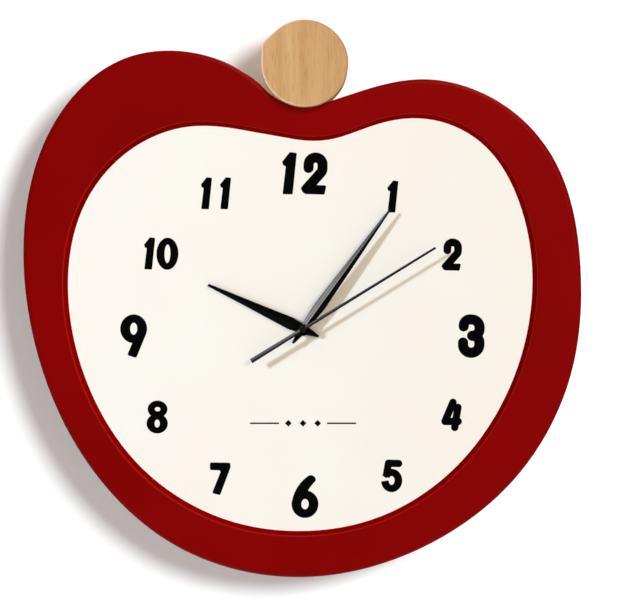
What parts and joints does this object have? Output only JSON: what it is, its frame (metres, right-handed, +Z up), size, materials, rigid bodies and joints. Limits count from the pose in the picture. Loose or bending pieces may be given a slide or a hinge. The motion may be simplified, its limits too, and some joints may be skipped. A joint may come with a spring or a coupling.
{
  "type": "wall clock",
  "caption": "Apple-shaped wall clock with a raised frame, wooden disc at the top notch, recessed numbered dial, three hands and a battery quartz movement.",
  "frame": {"origin": "where the top of the hanger plate's slot rests on the nail, in the plane of the wall", "axes": "+Z up, +X to the right of the dial as it is read, +Y into the wall, so that the dial faces -Y"},
  "size_m": [0.3023, 0.038, 0.3014],
  "materials": {
    "red_shell": "satin moulded",
    "beech": "fine sanded, clear matt",
    "dial_paper": "matt coated",
    "ink": "matt printed",
    "fibreboard": "raw",
    "cover_black": "fine grained",
    "steel": "zinc plated",
    "hand_black": "satin enamel",
    "hand_grey": "satin enamel",
    "case_plastic": "moulded",
    "brass": "turned",
    "gear_white": "moulded acetal",
    "copper_wire": "enamelled wire",
    "magnet": "sintered",
    "soft_iron": "stamped",
    "circuit_green": "solder mask",
    "epoxy_black": "cast",
    "battery_sleeve": "printed sleeve"
  },
  "bodies": {
    "clock_case": {"front_frame": "red_shell", "wood_disc": "beech", "disc_screws": "steel", "back_cover": "cover_black", "back_cover_screws": "steel", "hanger_plate": "steel", "hanger_rivets": "steel", "dial_sheet": "dial_paper", "dial_board": "fibreboard", "dial_board_screws": "steel", "numerals": "ink", "dial_print": "ink", "movement_housing": "case_plastic", "movement_back": "case_plastic", "gear_bridge": "case_plastic", "mounting_nut": "brass", "mounting_washer": "steel", "stator": "soft_iron", "coil_core": "soft_iron", "coil_bobbin": "gear_white", "coil_winding": "copper_wire", "circuit_board": "circuit_green", "chip_blob": "epoxy_black", "quartz_crystal": "steel", "positive_contact": "steel", "negative_contact": "steel"},
    "hour_set": {"hour_wheel": "gear_white", "hour_hand_bush": "hand_black", "hour_hand": "hand_black"},
    "minute_set": {"cannon_pinion": "gear_white", "minute_hand_bush": "hand_black", "minute_hand": "hand_black"},
    "setting_set": {"minute_wheel": "gear_white", "setting_stem": "steel", "setting_knob": "case_plastic"},
    "centre_set": {"centre_wheel": "gear_white"},
    "seconds_set": {"seconds_wheel": "gear_white", "seconds_arbor": "steel", "second_hand_tube": "hand_black", "second_hand": "hand_grey"},
    "third_set": {"third_wheel": "gear_white"},
    "fifth_set": {"fifth_wheel": "gear_white"},
    "rotor_set": {"rotor_pinion": "gear_white", "rotor_magnet": "magnet"},
    "battery_cell": {"battery": "battery_sleeve"}
  },
  "joints": [
    {"name": "minute_spin", "type": "hinge", "parent": "clock_case", "child": "minute_set", "pos_m": [0, -0.02, -0.088], "axis": [0, 1, 0], "continuous": true},
    {"name": "hour_spin", "type": "hinge", "parent": "clock_case", "child": "hour_set", "pos_m": [0, -0.02, -0.088], "axis": [0, 1, 0], "continuous": true},
    {"name": "setting_spin", "type": "hinge", "parent": "clock_case", "child": "setting_set", "pos_m": [0.012, -0.02, -0.088], "axis": [0, 1, 0], "continuous": true},
    {"name": "seconds_spin", "type": "hinge", "parent": "clock_case", "child": "seconds_set", "pos_m": [0, -0.02, -0.088], "axis": [0, 1, 0], "continuous": true},
    {"name": "third_spin", "type": "hinge", "parent": "clock_case", "child": "third_set", "pos_m": [-0.01087, -0.02, -0.08509], "axis": [0, 1, 0], "continuous": true},
    {"name": "centre_wheel_spin", "type": "hinge", "parent": "clock_case", "child": "centre_set", "pos_m": [0, -0.02, -0.088], "axis": [0, 1, 0], "continuous": true},
    {"name": "fifth_spin", "type": "hinge", "parent": "clock_case", "child": "fifth_set", "pos_m": [0.00495, -0.02, -0.07943], "axis": [0, 1, 0], "continuous": true},
    {"name": "rotor_spin", "type": "hinge", "parent": "clock_case", "child": "rotor_set", "pos_m": [0.01031, -0.02, -0.07493], "axis": [0, 1, 0], "continuous": true},
    {"name": "battery_slide", "type": "slide", "parent": "clock_case", "child": "battery_cell", "axis": [0, 1, 0], "range_m": [0, 0.025]}
  ],
  "couplings": [
    {"joint": "hour_spin", "follows": "minute_spin", "ratio": 0.083333},
    {"joint": "setting_spin", "follows": "minute_spin", "ratio": -0.33333},
    {"joint": "third_spin", "follows": "seconds_spin", "ratio": -0.125},
    {"joint": "centre_wheel_spin", "follows": "seconds_spin", "ratio": 0.016667},
    {"joint": "fifth_spin", "follows": "seconds_spin", "ratio": -5},
    {"joint": "rotor_spin", "follows": "seconds_spin", "ratio": 30}
  ]
}
